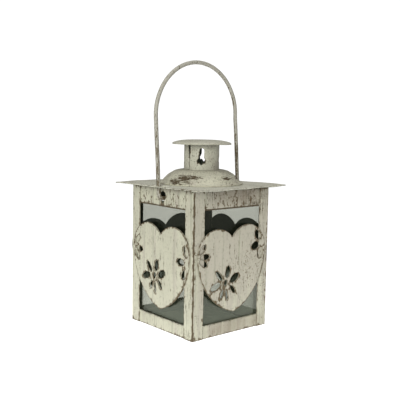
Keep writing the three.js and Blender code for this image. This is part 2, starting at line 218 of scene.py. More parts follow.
def inside(points, loops):
    """Which points lie inside the loops, by the even-odd rule."""
    x, y = np.asarray(points, float).T
    result = np.zeros(len(x), bool)
    for loop in loops:
        ax, ay = loop.T
        bx, by = np.roll(loop, -1, axis=0).T
        crosses = (ay > y[:, None]) != (by > y[:, None])
        rise = np.where(np.abs(by - ay) < 1e-12, 1e-12, by - ay)
        at = ax + (y[:, None] - ay) * (bx - ax) / rise
        result ^= (crosses & (x[:, None] < at)).sum(axis=1) % 2 == 1
    return result


def triangulate(loops, points=()):
    """Triangles over the loops and the loose points: their corners and their faces."""
    corners, sides = [], []
    for loop in loops:
        first = len(corners)
        corners += [Vector(point) for point in loop]
        sides += [(first + i, first + (i + 1) % len(loop)) for i in range(len(loop))]
    corners += [Vector(point) for point in points]
    made, _, faces, *_ = delaunay_2d_cdt(corners, sides, [], 0, 1e-6)
    return np.array([tuple(corner) for corner in made]), faces


def trim(outline, cuts, limit):
    """Boundary loops of the outline less the cuts, which bite only inside the limit loop."""
    corners, faces = triangulate([outline, limit, *cuts])
    centres = np.array([corners[list(face)].mean(axis=0) for face in faces])
    bitten = np.zeros(len(centres), bool)
    for cut in cuts:
        bitten |= inside(centres, [cut])
    kept = inside(centres, [outline]) & ~(bitten & inside(centres, [limit]))
    sides = set()
    for face, keep in zip(faces, kept):
        if keep:
            sides.update(zip(face, (*face[1:], face[0])))
    follow = {a: b for a, b in sides if (b, a) not in sides}
    loops = []
    while follow:
        at = next(iter(follow))
        loop = []
        while at in follow:
            loop.append(corners[at])
            at = follow.pop(at)
        loops.append(closed(loop))
    return loops


def inward(loop):
    """At each point of a loop, the direction into the metal, which lies on the left of its run."""
    ahead = np.roll(loop, -1, axis=0) - loop
    ahead /= np.linalg.norm(ahead, axis=1)[:, None]
    left = np.column_stack((-ahead[:, 1], ahead[:, 0]))
    both = left + np.roll(left, 1, axis=0)
    both /= np.linalg.norm(both, axis=1)[:, None] + 1e-9
    mitre = np.maximum((both * left).sum(axis=1), 0.5)
    return both / mitre[:, None]


NO_EDGE = 50.0  # clearance where no edge lies ahead


def clearance(loop, directions, loops):
    """How far each point of a loop can move inward before it meets the metal's far edge."""
    far = np.full(len(loop), NO_EDGE)
    for other in loops:
        along = np.roll(other, -1, axis=0) - other
        offset = other[None] - (loop + directions * 0.01)[:, None]
        cross = directions[:, None, 0] * along[None, :, 1] - directions[:, None, 1] * along[None, :, 0]
        cross = np.where(np.abs(cross) < 1e-9, 1e-9, cross)
        reach = (offset[..., 0] * along[None, :, 1] - offset[..., 1] * along[None, :, 0]) / cross
        place = (offset[..., 0] * directions[:, None, 1] - offset[..., 1] * directions[:, None, 0]) / cross
        hit = (reach > 0) & (place >= 0) & (place <= 1)
        far = np.minimum(far, np.where(hit, reach, NO_EDGE).min(axis=1))
    return far


def orient(loops):
    """Outer loops anticlockwise and holes clockwise, so that the metal is on each loop's left."""
    facing = []
    for number, loop in enumerate(loops):
        following = np.roll(loop, -1, axis=0)
        area = (loop[:, 0] * following[:, 1] - following[:, 0] * loop[:, 1]).sum()
        others = [other for index, other in enumerate(loops) if index != number]
        hole = bool(inside(loop[:1], others)[0]) if others else False
        facing.append(loop[::-1] if (area > 0) == hole else loop)
    return facing


def grid(loops, spacing, clear):
    """Points of a staggered grid inside the loops, well clear of them."""
    everything = np.vstack([refine(loop, 0.5) for loop in loops])
    tree = kdtree.KDTree(len(everything))
    for index, point in enumerate(everything):
        tree.insert((*point, 0), index)
    tree.balance()
    low, high = everything.min(axis=0), everything.max(axis=0)
    points = []
    for row, y in enumerate(np.arange(low[1], high[1], spacing * 0.87)):
        points += [(x + spacing / 2 * (row % 2), y) for x in np.arange(low[0], high[0], spacing)]
    points = np.array(points)
    points = points[inside(points, loops)]
    return [point for point in points if tree.find((*point, 0))[2] > clear]


# ---- Meshes ---------------------------------------------------------------------------------

# Rings of points round the face of a sheet: how far each lies in from the cut edge and below the
# face, and how worn it is.
EDGE_RINGS = ((0, 0.2, 0.5), (0.06, 0.06, 1), (0.22, 0, 1), (0.6, 0, 0.62))
RING_ROOM = 0.35  # largest share of narrow metal's width that the rings take from one side
DEEPEST_RING = 0.7  # largest drop of a ring, as a share of half the sheet


class Shell:
    """The points, faces and face materials of one piece, and at each point how worn it is and how much
    painted shade it carries.
    """

    def __init__(self):
        self.points, self.faces, self.slots, self.wear_and_shade = [], [], [], []

    def add_face(self, corners, slot=0):
        self.faces.append(tuple(corners))
        self.slots.append(slot)

    def build(self, name, materials, body, slot, node):
        """Makes the object, puts it on its body and hides the CAD node that it stands for."""
        mesh = bpy.data.meshes.new(name)
        mesh.from_pydata([Vector(point) * MM for point in self.points], [], self.faces)
        mesh.polygons.foreach_set("material_index", self.slots)
        mesh.polygons.foreach_set("use_smooth", [True] * len(self.faces))
        wear_and_shade = mesh.attributes.new("wear_and_shade", "FLOAT", "POINT")
        wear_and_shade.data.foreach_set("value", np.asarray(self.wear_and_shade, np.float32))
        for material in materials:
            mesh.materials.append(material)
        mesh.update()
        piece = bpy.data.objects.new(name, mesh)
        bpy.context.scene.collection.objects.link(piece)
        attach(piece, body)
        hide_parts(node)


def sheet(loops, thickness, spacing, place, creases=()):
    """A closed sheet of metal. place(u, v, w) folds a point of the flat sheet into its place, w
    counting outward from the middle of the thickness. creases are values of u where it bends."""
    loops = orient([split_at(refine(loop, spacing), creases) for loop in loops])
    directions = [inward(loop) for loop in loops]
    rooms = [clearance(loop, ways, loops) * RING_ROOM for loop, ways in zip(loops, directions)]
    flat, drops, wears, faces = [], [], [], []
    rings = []
    for distance, drop, wear_and_shade in EDGE_RINGS:
        ring = []
        for loop, ways, room in zip(loops, directions, rooms):
            ring.append(loop + ways * np.minimum(distance, room)[:, None])
            drops += [drop] * len(loop)
            wears += [wear_and_shade] * len(loop)
        flat += [point for loop in ring for point in loop]
        rings.append(ring)
    ring_size = sum(len(loop) for loop in loops)
    for number in range(len(EDGE_RINGS) - 1):
        first = number * ring_size
        for loop in loops:
            for i in range(len(loop)):
                a, b = first + i, first + (i + 1) % len(loop)
                faces.append((a, b, b + ring_size, a + ring_size))
            first += len(loop)
    inner = rings[-1]
    loose = grid(inner, spacing, spacing * 0.6)
    if len(creases):
        low, high = np.vstack(inner).min(axis=0), np.vstack(inner).max(axis=0)
        rows = [(u, v) for u in creases for v in np.arange(low[1], high[1], spacing)]
        span_low, span_high = min(creases) - 0.5, max(creases) + 0.5
        loose = [point for point in loose if not span_low < point[0] < span_high]
        loose += [row for row, keep in zip(rows, inside(rows, inner)) if keep]
    corners, triangles = triangulate(inner, loose)
    centres = np.array([corners[list(face)].mean(axis=0) for face in triangles])
    base = (len(EDGE_RINGS) - 1) * ring_size
    for face, keep in zip(triangles, inside(centres, inner)):
        if keep:
            faces.append(tuple(base + corner for corner in face))
    extra = corners[ring_size:]
    flat += list(extra)
    drops += [0] * len(extra)
    wears += [0] * len(extra)

    shell = Shell()
    half = thickness / 2
    for side in (1, -1):
        for (u, v), drop in zip(flat, drops):
            shell.points.append(place(u, v, side * (half - min(drop, half * DEEPEST_RING))))
        shell.wear_and_shade += wears
    count = len(flat)
    for face in faces:
        shell.add_face(face)
        shell.add_face([count + corner for corner in reversed(face)], 1)
    first = 0
    for loop in loops:
        for i in range(len(loop)):
            a, b = first + i, first + (i + 1) % len(loop)
            shell.add_face((b, a, count + a, count + b))
        first += len(loop)
    return shell


class Fold:
    """A cross-section of straight runs and right-hand bends, given as (length, turn) pairs."""

    def __init__(self, runs, start, heading):
        self.runs, self.start, self.heading = runs, start, heading
        self.length = sum(length for length, _ in runs)

    def creases(self, steps=6):
        places, along = [], 0
        for length, turn in self.runs:
            if turn:
                places += list(np.linspace(along, along + length, steps + 1))
            along += length
        return places

    def place(self, along, out):
        """The point that is so far along the section and so far out to its left."""
        x, y = self.start
        heading = self.heading
        left = along
        for number, (length, turn) in enumerate(self.runs):
            last = number == len(self.runs) - 1
            step = left if last else min(max(left, 0), length)
            if turn:
                radius = length / turn
                following = heading - step / radius
                x += radius * (math.sin(heading) - math.sin(following))
                y += radius * (math.cos(following) - math.cos(heading))
                heading = following
            else:
                x += step * math.cos(heading)
                y += step * math.sin(heading)
            left -= step
            if left <= 0:
                break
        return x - out * math.sin(heading), y + out * math.cos(heading)


def turned(point, quarter):
    """A point of the front wall, turned to another wall."""
    x, y, z = point
    for _ in range(quarter):
        x, y = -y, x
    return (x, y, z)


def revolve(profile, segments, unevenness):
    """A closed shell from a closed profile of (radius, z, slot, wear) points, anticlockwise with
    the axis on its left. A profile may touch the axis. unevenness(point) is how a point is moved."""
    shell = Shell()
    rings = []
    for radius, z, _, wear_and_shade in profile:
        count = segments if radius > 1e-6 else 1
        rings.append((len(shell.points), count))
        for index in range(count):
            angle = 2 * math.pi * index / segments
            point = Vector((radius * math.cos(angle), radius * math.sin(angle), z))
            shell.points.append(STACK + point + unevenness(point))
            shell.wear_and_shade.append(wear_and_shade)
    for number, (start, count) in enumerate(rings):
        following, other = rings[(number + 1) % len(rings)]
        slot = profile[number][2]
        if count == 1 and other == 1:
            continue
        for i in range(segments):
            j = (i + 1) % segments
            corners = [start + i % count, start + j % count, following + j % other, following + i % other]
            shell.add_face(list(dict.fromkeys(corners)), slot)
    return shell


def smooth_curve(points, parts):
    """A Catmull-Rom curve through the points, with so many parts between each two."""
    points = [np.array(point, float) for point in points]
    points = [2 * points[0] - points[1], *points, 2 * points[-1] - points[-2]]
    curve = []
    for a, b, c, d in zip(points, points[1:], points[2:], points[3:]):
        for step in range(parts):
            t = step / parts
            curve.append(
                0.5
                * (2 * b + (c - a) * t + (2 * a - 5 * b + 4 * c - d) * t**2 + (3 * b - a - 3 * c + d) * t**3)
            )
    return [tuple(point) for point in (*curve, points[-2])]


# ---- Materials ------------------------------------------------------------------------------


class Paint:
    """A material's node tree, built by small steps that return sockets."""

    def __init__(self, name):
        self.material = bpy.data.materials.new(name)
        self.material.use_nodes = True
        self.tree = self.material.node_tree
        self.shader = self.tree.nodes["Principled BSDF"]
        coordinates = self.tree.nodes.new("ShaderNodeTexCoord")
        self.place = self.vector("SCALE", coordinates.outputs["Object"], scale=1 / MM)

    def link(self, value, socket):
        if isinstance(value, bpy.types.NodeSocket):
            self.tree.links.new(value, socket)
        else:
            socket.default_value = value

    def vector(self, operation, first, second=None, scale=None):
        node = self.tree.nodes.new("ShaderNodeVectorMath")
        node.operation = operation
        self.link(first, node.inputs[0])
        if second is not None:
            self.link(second, node.inputs[1])
        if scale is not None:
            node.inputs["Scale"].default_value = scale
        return node.outputs["Value" if operation == "LENGTH" else "Vector"]

    def operate(self, operation, first, second):
        node = self.tree.nodes.new("ShaderNodeMath")
        node.operation = operation
        self.link(first, node.inputs[0])
        self.link(second, node.inputs[1])
        return node.outputs[0]

    def plus(self, first, second):
        return self.operate("ADD", first, second)

    def minus(self, first, second):
        return self.operate("SUBTRACT", first, second)

    def times(self, first, second):
        return self.operate("MULTIPLY", first, second)

    def noise(self, size, stretch=(1, 1, 1), detail=3.0, shift=0.0, roughness=0.55):
        """Noise whose features are about this size in millimetres, stretched along the axes."""
        scale = tuple(1 / (size * axis) for axis in stretch)
        moved = self.vector("MULTIPLY", self.place, scale)
        if shift:
            moved = self.vector("ADD", moved, (shift, shift * 0.7, shift * 1.3))
        node = self.tree.nodes.new("ShaderNodeTexNoise")
        self.link(moved, node.inputs["Vector"])
        node.inputs["Scale"].default_value = 1
        node.inputs["Detail"].default_value = detail
        node.inputs["Roughness"].default_value = roughness
        return node.outputs["Fac"]

    def ramp(self, value, low, high):
        """0 below low, 1 above high and smooth between them."""
        node = self.tree.nodes.new("ShaderNodeMapRange")
        node.interpolation_type = "SMOOTHSTEP"
        self.link(value, node.inputs["Value"])
        node.inputs["From Min"].default_value = low
        node.inputs["From Max"].default_value = high
        return node.outputs["Result"]

    def mix(self, share, first, second):
        node = self.tree.nodes.new("ShaderNodeMix")
        node.data_type = "RGBA"
        self.link(share, node.inputs["Factor"])
        self.link(first, node.inputs["A"])
        self.link(second, node.inputs["B"])
        return node.outputs["Result"]

    def tinted(self, colour, tint, value, low, high, share):
        """The colour, with up to this share of the tint where the value passes from low to high."""
        return self.mix(self.times(self.ramp(value, low, high), share), colour, tint)

    def blend(self, share, first, second):
        """A mixture of two shaders."""
        node = self.tree.nodes.new("ShaderNodeMixShader")
        self.link(share, node.inputs["Fac"])
        self.link(first, node.inputs[1])
        self.link(second, node.inputs[2])
        return node.outputs["Shader"]

    def attribute(self, name):
        node = self.tree.nodes.new("ShaderNodeAttribute")
        node.attribute_name = name
        return node.outputs["Fac"]

    def spot(self, centre, radius, stretch=(1, 1, 1)):
        """1 at a place on the object, falling to 0 at about this distance from it."""
        scale = tuple(1 / (radius * axis) for axis in stretch)
        offset = self.vector("SUBTRACT", self.place, centre)
        distance = self.vector("LENGTH", self.vector("MULTIPLY", offset, scale))
        return self.minus(1.0, self.ramp(distance, 0.35, 1.0))

    def largest(self, values):
        value = values[0]
        for other in values[1:]:
            value = self.operate("MAXIMUM", value, other)
        return value

    def bump(self, height, depth_mm, strength=1.0):
        node = self.tree.nodes.new("ShaderNodeBump")
        node.inputs["Distance"].default_value = depth_mm * MM
        node.inputs["Strength"].default_value = strength
        self.link(height, node.inputs["Height"])
        self.link(node.outputs["Normal"], self.shader.inputs["Normal"])


CREAM = (0.57, 0.56, 0.435, 1)
# Lit and shaded copies of the cream, painted for how light falls on the roof: darker on the cap, lighter on
# the dome, lighter still on the roof plate and chimney.
SHADED_ROOF_CREAM = (0.53, 0.52, 0.43, 1)
LIT_DOME_CREAM = (0.59, 0.575, 0.45, 1)
LIT_CREAM = (0.66, 0.65, 0.54, 1)
SHADED_CREAM = (0.42, 0.415, 0.32, 1)
PINK_GREY = (0.45, 0.41, 0.345, 1)
OLIVE = (0.3, 0.3, 0.215, 1)
# Dirt, and painted shade.
GRIME_AND_SHADE = (0.26, 0.215, 0.16, 1)
BROWN = (0.06, 0.043, 0.022, 1)
BROWN_PALE = (0.2, 0.155, 0.09, 1)
PRIMER = (0.066, 0.08, 0.052, 1)
# Paler primer for low down inside: painted light.
LOW_PAINTED_LIGHT = (0.4, 0.44, 0.32, 1)
WIRE_CREAM = (0.47, 0.46, 0.39, 1)
WIRE_SHADED = (0.42, 0.4, 0.34, 1)
# Dust on the glass, and painted shade low down.
GLASS_DUST_AND_SHADE = (0.17, 0.185, 0.13, 1)
GLASS_TINT = (0.812, 0.818, 0.79, 1)
GLASS_GLEAM = (0.92, 1, 0.86, 1)
FLOOR_PRIMER = (0.48, 0.52, 0.39, 1)
CORNER_PRIMER = (0.05, 0.052, 0.045, 1)
HEAD_ON_GLEAM = 0.04  # share of light that glass mirrors when seen square on

UPRIGHT = (1, 1, 14)  # brush strokes that run up and down
ALL_ROUND = (1, 1, 1)
LEVEL = (4, 4, 0.5)  # scratches that run level round the dome


def distressed(name, cream=CREAM, grain=UPRIGHT, streaks=0.5, specks=0.5, edges=0.5, **spots):
    """Brushed cream paint, rubbed through to a brown base coat. streaks, specks and edges say how
    much base coat shows, from 0 to 1; the base coat also gives painted shade in dark lines along the
    tops and feet of the walls. The spots are places, (centre, radius) or (centre, radius, stretch),
    that are pink, darkened by dirt and painted shade, streaky, speckled, rubbed at their edges or
    scratched level."""
    paint = Paint(name)

    def near(kind):
        return paint.largest([0.0, *(paint.spot(*spot) for spot in spots.get(kind, ()))])

    cloud = paint.noise(22, detail=2)
    brush = paint.noise(1.0, grain, detail=4, shift=3)
    tint = paint.noise(6, grain, detail=3, shift=9)
    colour = paint.tinted(cream, SHADED_CREAM, cloud, 0.4, 0.7, 0.35)
    pink = paint.plus(paint.times(near("pink"), 0.2), tint)
    colour = paint.tinted(colour, PINK_GREY, pink, 0.5, 0.7, 0.6)
    colour = paint.tinted(colour, SHADED_CREAM, brush, 0.5, 0.75, 0.45)
    stroke = paint.noise(1.7, tuple(3 * axis if axis > 1 else axis for axis in grain), detail=1, shift=81)
    colour = paint.tinted(colour, OLIVE, stroke, 0.6, 0.68, 0.45)
    mottle = paint.noise(1.5, detail=3, shift=91, roughness=0.7)
    colour = paint.tinted(colour, OLIVE, mottle, 0.52, 0.7, 0.4)
    # Darker under the roof and along the foot of the walls: painted shade, with some dirt.
    grime_and_shade = paint.times(near("grimy"), paint.plus(paint.times(tint, 0.9), 0.1))
    colour = paint.mix(grime_and_shade, colour, GRIME_AND_SHADE)

    region = paint.times(paint.ramp(paint.noise(19, detail=2, shift=5), 0.5, 0.72), 0.6 * streaks)
    streaky = paint.largest([region, near("streaky")])
    line = paint.noise(0.75, grain, detail=3, shift=14)
    line = paint.ramp(paint.plus(line, paint.times(streaky, 0.09)), 0.61, 0.66)
    dots = paint.ramp(paint.noise(0.55, (1, 1, 1.8), detail=2, shift=21), 0.42, 0.52)
    streak = paint.times(line, dots)

    fleck = paint.noise(0.9, detail=2, shift=31)
    speckled = paint.largest([region, near("speckled")])
    speck = paint.ramp(paint.plus(fleck, paint.times(speckled, 0.11)), 0.74 - 0.07 * specks, 0.75)

    chip = paint.noise(1.9, (1, 1, 1.8), detail=4, shift=41, roughness=0.6)
    # Rubbed edges, and painted shade in dark lines along the tops and feet of the walls.
    rub_and_shade = paint.plus(paint.times(paint.attribute("wear_and_shade"), 0.36), chip)
    rub_and_shade = paint.plus(rub_and_shade, paint.times(near("rubbed"), 0.13))
    edge = paint.ramp(rub_and_shade, 0.86 - 0.12 * edges, 0.9 - 0.1 * edges)

    scratch = paint.noise(1.1, LEVEL, detail=5, shift=51, roughness=0.65)
    scratch = paint.ramp(paint.plus(scratch, paint.times(near("scratched"), 0.23)), 0.65, 0.7)
    bare = paint.largest([streak, speck, edge, scratch])

    # Deepest brown where the mark is strongest: on folds, behind the rails and in the painted-shade lines
    # along the feet of the walls.
    folds = paint.ramp(paint.attribute("wear_and_shade"), 0.9, 1.4)
    deep = paint.plus(scratch, paint.plus(streak, folds))
    pale = paint.minus(paint.noise(1.6, detail=4, shift=61), paint.times(deep, 0.35))
    base = paint.mix(pale, BROWN, BROWN_PALE)
    colour = paint.mix(bare, colour, base)
    paint.link(colour, paint.shader.inputs["Base Color"])
    gloss = paint.plus(paint.times(brush, 0.3), 0.42)
    paint.link(paint.plus(gloss, paint.times(bare, 0.15)), paint.shader.inputs["Roughness"])
    paint.shader.inputs["Specular IOR Level"].default_value = 0.35
    height = paint.minus(paint.times(brush, 0.4), paint.times(bare, 0.7))
    height = paint.plus(height, paint.times(mottle, 0.4))
    height = paint.plus(height, paint.times(paint.noise(5, detail=2, shift=71), 0.5))
    paint.bump(height, 0.14, 0.8)
    return paint.material


def mottled(name):
    """Thin cream paint on wire, blotchy over its brown base coat, and dark brown where the wire
    passes through the wall."""
    paint = Paint(name)
    blotch = paint.noise(3.2, (0.7, 0.7, 2.6), detail=4, shift=4)
    fine = paint.noise(0.7, (0.8, 0.8, 2), detail=4, shift=8)
    side = paint.noise(0.9, (1, 1, 12), detail=3, shift=15)
    total = paint.plus(paint.times(blotch, 0.35), paint.times(fine, 0.35))
    total = paint.plus(total, paint.times(side, 0.3))
    total = paint.plus(total, paint.times(paint.attribute("wear_and_shade"), 0.5))
    colour = paint.mix(paint.ramp(blotch, 0.4, 0.65), WIRE_SHADED, WIRE_CREAM)
    bare = paint.ramp(total, 0.56, 0.64)
    colour = paint.mix(bare, colour, paint.mix(fine, BROWN, BROWN_PALE))
    paint.link(colour, paint.shader.inputs["Base Color"])
    paint.link(paint.plus(paint.times(bare, 0.2), 0.45), paint.shader.inputs["Roughness"])
    paint.shader.inputs["Specular IOR Level"].default_value = 0.35
    paint.bump(paint.minus(paint.times(blotch, 0.8), bare), 0.15)
    return paint.material


def primer(name, colour=PRIMER):
    """Matt base coat on the faces that the cream paint doesn't reach, paler low down with painted light."""
    paint = Paint(name)
    pale = tuple(channel * 1.35 for channel in colour[:3]) + (1,)
    haze = paint.noise(9, detail=4)
    grit = paint.noise(0.6, detail=2, shift=6)
    shade = paint.mix(paint.ramp(haze, 0.4, 0.7), colour, pale)
    # Painted light: paler low down, where more light reaches inside the lantern.
    shade = paint.mix(paint.times(paint.spot((0, 0, 0), 60, (9, 9, 1)), 0.3), shade, LOW_PAINTED_LIGHT)
    shade = paint.tinted(shade, BROWN_PALE, grit, 0.62, 0.7, 0.5)
    paint.link(shade, paint.shader.inputs["Base Color"])
    paint.link(paint.plus(paint.times(haze, 0.2), 0.5), paint.shader.inputs["Roughness"])
    paint.bump(paint.plus(grit, haze), 0.03)
    return paint.material


def glass(name, shadow_spots):
    """Thin grey-green float glass, dustier low down, where painted shade also darkens it, and with painted
    shadow at the shadow spots.
    """
    paint = Paint(name)
    # Hazier low down: dustier glass, and painted shade.
    low = paint.times(paint.spot((0, 0, 0), 75, (9, 9, 1)), 0.32)
    dust_and_shade = paint.largest([low, *(paint.spot(*spot) for spot in shadow_spots)])
    smear = paint.ramp(paint.noise(14, detail=4), 0.45, 0.8)
    paint.shader.inputs["Base Color"].default_value = GLASS_DUST_AND_SHADE
    paint.shader.inputs["Roughness"].default_value = 0.7
    paint.shader.inputs["Specular IOR Level"].default_value = 0
    clear = paint.tree.nodes.new("ShaderNodeBsdfTransparent")
    clear.inputs["Color"].default_value = GLASS_TINT
    haze = paint.plus(paint.times(dust_and_shade, 0.3), 0.02)
    hazed = paint.blend(haze, clear.outputs["BSDF"], paint.shader.outputs["BSDF"])
    mirror = paint.tree.nodes.new("ShaderNodeBsdfGlossy")
    mirror.inputs["Color"].default_value = GLASS_GLEAM
    paint.link(paint.plus(paint.times(smear, 0.05), 0.02), mirror.inputs["Roughness"])
    slant = paint.tree.nodes.new("ShaderNodeLayerWeight").outputs["Facing"]
    grazing = paint.times(paint.operate("POWER", slant, 5.0), 1 - HEAD_ON_GLEAM)
    gleam = paint.plus(grazing, HEAD_ON_GLEAM)
    seen = paint.blend(gleam, hazed, mirror.outputs["BSDF"])
    paint.link(seen, paint.tree.nodes["Material Output"].inputs["Surface"])
    return paint.material


FRONT = -BODY_HALF
FLAT_TO_FRONT = (1, 0.1, 1)
frame_paint = distressed(
    "frame_paint",
    edges=0.7,
    streaks=0.4,
    specks=0.55,
    pink=[((0, FRONT, 70), 90, FLAT_TO_FRONT), ((-20, FRONT, 92), 50, FLAT_TO_FRONT)],
    # Painted shade under the roof on the front and left top rails and along the foot of the front wall; on
    # the front top rail it is partly dirt.
    grimy=[
        ((6, FRONT, 99), 34, (1, 0.1, 0.36)),
        ((6, FRONT, 4), 42, (1, 0.1, 0.2)),
        ((FRONT, 0, 101.6), 45, (0.1, 1, 0.08)),
    ],
    streaky=[((22, FRONT, 95), 21), ((-20, FRONT, 97), 9), ((1.5, FRONT, 95), 10, (0.07, 0.3, 1))],
    speckled=[
        ((24, FRONT, 95), 22),
        ((29, FRONT, 95), 12),
        ((35, FRONT, 28), 36, (0.3, 0.3, 1)),
        ((-35, FRONT, 60), 60, (0.06, 0.06, 1)),
    ],
    rubbed=[((-FRONT, FRONT, 45), 60, (0.07, 0.07, 1))],
)
heart_paint = distressed(
    "heart_paint",
    edges=1.25,
    streaks=0.2,
    specks=0.6,
    pink=[((0, FRONT, 60), 90, FLAT_TO_FRONT)],
    streaky=[((6, FRONT, 45), 15, (0.4, 0.1, 1.4))],
    speckled=[((16, FRONT, 46), 30, FLAT_TO_FRONT), ((-10, FRONT, 28), 16, FLAT_TO_FRONT)],
    rubbed=[((-14, FRONT, 30), 18, FLAT_TO_FRONT), ((FRONT, -18, 34), 20, (0.1, 1, 1))],
)
# Lit copy of the cream: painted light on the roof plate.
plate_paint = distressed(
    "plate_paint",
    cream=LIT_CREAM,
    grain=ALL_ROUND,
    edges=0.1,
    streaks=0.2,
    specks=0.5,
    rubbed=[((-42, -31, 102.5), 22)],
)
# Shaded copy of the cream: painted shade on the cap.
cap_paint = distressed("cap_paint", cream=SHADED_ROOF_CREAM, grain=ALL_ROUND, edges=0.1, streaks=0.1, specks=0.2)
# Lit copy of the cream: painted light on the dome.
dome_paint = distressed(
    "dome_paint",
    cream=LIT_DOME_CREAM,
    grain=ALL_ROUND,
    edges=0.35,
    streaks=0.25,
    specks=0.7,
    scratched=[
        ((-21.5, -11.5, 108.2), 15, (1, 1, 0.16)),
        ((-25.8, -6.5, 105.3), 14, (1, 1, 0.24)),
        ((3, -24, 107.5), 9, (1, 1, 0.14)),
        ((17, -19, 107), 9, (1, 1, 0.2)),
        ((17, 20, 108), 11, (1, 1, 0.2)),
    ],
    speckled=[((6, -25, 107), 22), ((-24, -12, 104), 16)],
)
# Lit copy of the cream: painted light on the chimney.
chimney_paint = distressed(
    "chimney_paint",
    cream=LIT_CREAM,
    grain=ALL_ROUND,
    edges=0.3,
    streaks=0.1,
    specks=0.2,
)
bail_paint = mottled("bail_paint")
inner_primer = primer("inner_primer")
floor_primer = primer("floor_primer", FLOOR_PRIMER)
corner_primer = primer("corner_primer", CORNER_PRIMER)
# Painted shadow low on the right pane.
pane_glass = glass("pane_glass", [((-FRONT, -16, 8), 45, (1, 1, 1))])

# ---- Body -----------------------------------------------------------------------------------

SIDES = ("front", "right", "back", "left")
CORNERS = ("front_left", "front_right", "back_right", "back_left")


def ripple(u, v, seed, depth, size=17):
    """A shallow unevenness of pressed sheet."""
    return depth * noise.noise(Vector((u / size, v / size, seed)))


def make_post(quarter):
    straight = POST_FLANGE - POST_BEND - SHEET / 2
    runs = [(straight, 0), (POST_BEND * math.pi / 2, math.pi / 2), (straight, 0)]
    middle = BODY_HALF - SHEET / 2
    fold = Fold(runs, (-BODY_HALF + POST_FLANGE, -middle), math.pi)

    def place(u, v, w):
        x, y = fold.place(u, w)
        return turned((x, y, v), quarter)

    loop = rectangle(0, 0, fold.length, WALL_TOP)
    shell = sheet([loop], SHEET, 3, place, fold.creases())
    rub_fold(shell, quarter, 1.6 if quarter == 0 else 1.1)
    # Painted shade along the top of the wall, under the edge of the roof plate.
    wear_and_shade_level(shell, WALL_TOP - 0.5, 1.1)
    # Painted shade where the wall meets the floor, with worn paint on the bottom edge.
    wear_and_shade_level(shell, 0, 1.3)
    node = f"post_{CORNERS[quarter]}"
    shell.build(f"{node}_sheet", [frame_paint, inner_primer], "body", "frame_paint", node)


BAND_REACH = 0.7  # how far the worn and painted-shade bands along a rail's folds reach onto its flat part
FOLD_RUB_WIDTH = 1.05
LEVEL_BAND_WIDTH = 0.9
BEHIND_FACE = 0.3  # how far behind the back of a rail's face the paint ends
ALL_BARE = 2  # wear that leaves no paint at all


def rub_fold(shell, quarter, amount):
    """Wear on the outside of a post's fold."""
    ridge = turned((-BODY_HALF, -BODY_HALF, 0), quarter)
    for index, point in enumerate(shell.points):
        distance = math.hypot(point[0] - ridge[0], point[1] - ridge[1])
        shell.wear_and_shade[index] = max(shell.wear_and_shade[index], amount * math.exp(-((distance / FOLD_RUB_WIDTH) ** 2)))


def wear_and_shade_level(shell, height, amount):
    """Wear and painted shade along a level line, such as the fold of a rail's window edge or the top and
    foot of a wall.
    """
    for index, point in enumerate(shell.points):
        wear_and_shade = amount * math.exp(-(((point[2] - height) / LEVEL_BAND_WIDTH) ** 2))
        shell.wear_and_shade[index] = max(shell.wear_and_shade[index], wear_and_shade)


def bare_inside(shell):
    """Leaves the base coat on what lies behind a rail's face, where the paint doesn't reach."""
    for index, point in enumerate(shell.points):
        if max(abs(point[0]), abs(point[1])) < RAIL_FACE - RAIL_SHEET - BEHIND_FACE:
            shell.wear_and_shade[index] = ALL_BARE


def bail_eye(origin):
    """The teardrop hole, with its first coordinate measured up the rail from the origin."""
    taper = math.asin(EYE_RADIUS / (EYE_CENTRE_Z - EYE_POINT_Z))
    bow = arc(0, EYE_CENTRE_Z, EYE_RADIUS, -taper, math.pi + taper, 24)
    loop = closed(bow, [(0, EYE_POINT_Z)])
    return np.column_stack((loop[:, 1] - origin, loop[:, 0]))


def make_top_rail(quarter):
    flange_outside = FLANGE_BEND + RAIL_SHEET / 2
    web = WALL_TOP - WINDOW_TOP - HEM_OUTSIDE - flange_outside
    hem_arc = HEM_BEND * math.pi
    flange_arc = FLANGE_BEND * math.pi / 2
    flange = FLANGE_REACH - flange_outside
    runs = [(TOP_HEM_STRIP, 0), (hem_arc, math.pi), (web, 0), (flange_arc, math.pi / 2), (flange, 0)]
    start = (-RAIL_MIDDLE + 2 * HEM_BEND, WINDOW_TOP + HEM_OUTSIDE + TOP_HEM_STRIP)
    fold = Fold(runs, start, -math.pi / 2)
    shoulder = TOP_HEM_STRIP + hem_arc + web
    outline = [
        (0, -RAIL_HALF), (shoulder, -RAIL_HALF), (shoulder, -FLANGE_HALF), (fold.length, -FLANGE_HALF),
        (fold.length, FLANGE_HALF), (shoulder, FLANGE_HALF), (shoulder, RAIL_HALF), (0, RAIL_HALF),
    ]
    loops = [np.array(outline, float)]
    hinged = quarter % 2 == 1  # the left and right rails hold the bail
    if hinged:
        loops.append(bail_eye(WINDOW_TOP + HEM_OUTSIDE - TOP_HEM_STRIP - hem_arc))

    def place(u, v, w):
        y, z = fold.place(u, w)
        return turned((v, y, z), quarter)

    flipped = [mirrored(loop) for loop in loops]
    creases = fold.creases() + [TOP_HEM_STRIP + hem_arc + BAND_REACH, shoulder - BAND_REACH]
    shell = sheet(flipped, RAIL_SHEET, 2.5, lambda u, v, w: place(u, -v, w), creases)
    # A dark line along the fold at the window's top edge.
    wear_and_shade_level(shell, WINDOW_TOP + 0.4, 1.8)
    # Painted shade along the top of the wall, under the edge of the roof plate.
    wear_and_shade_level(shell, WALL_TOP - 0.9, 0.9)
    bare_inside(shell)
    node = f"top_rail_{SIDES[quarter]}"
    shell.build(f"{node}_sheet", [frame_paint, inner_primer], "body", "frame_paint", node)


def mirrored(loop):
    return np.column_stack((loop[:, 0], -loop[:, 1]))


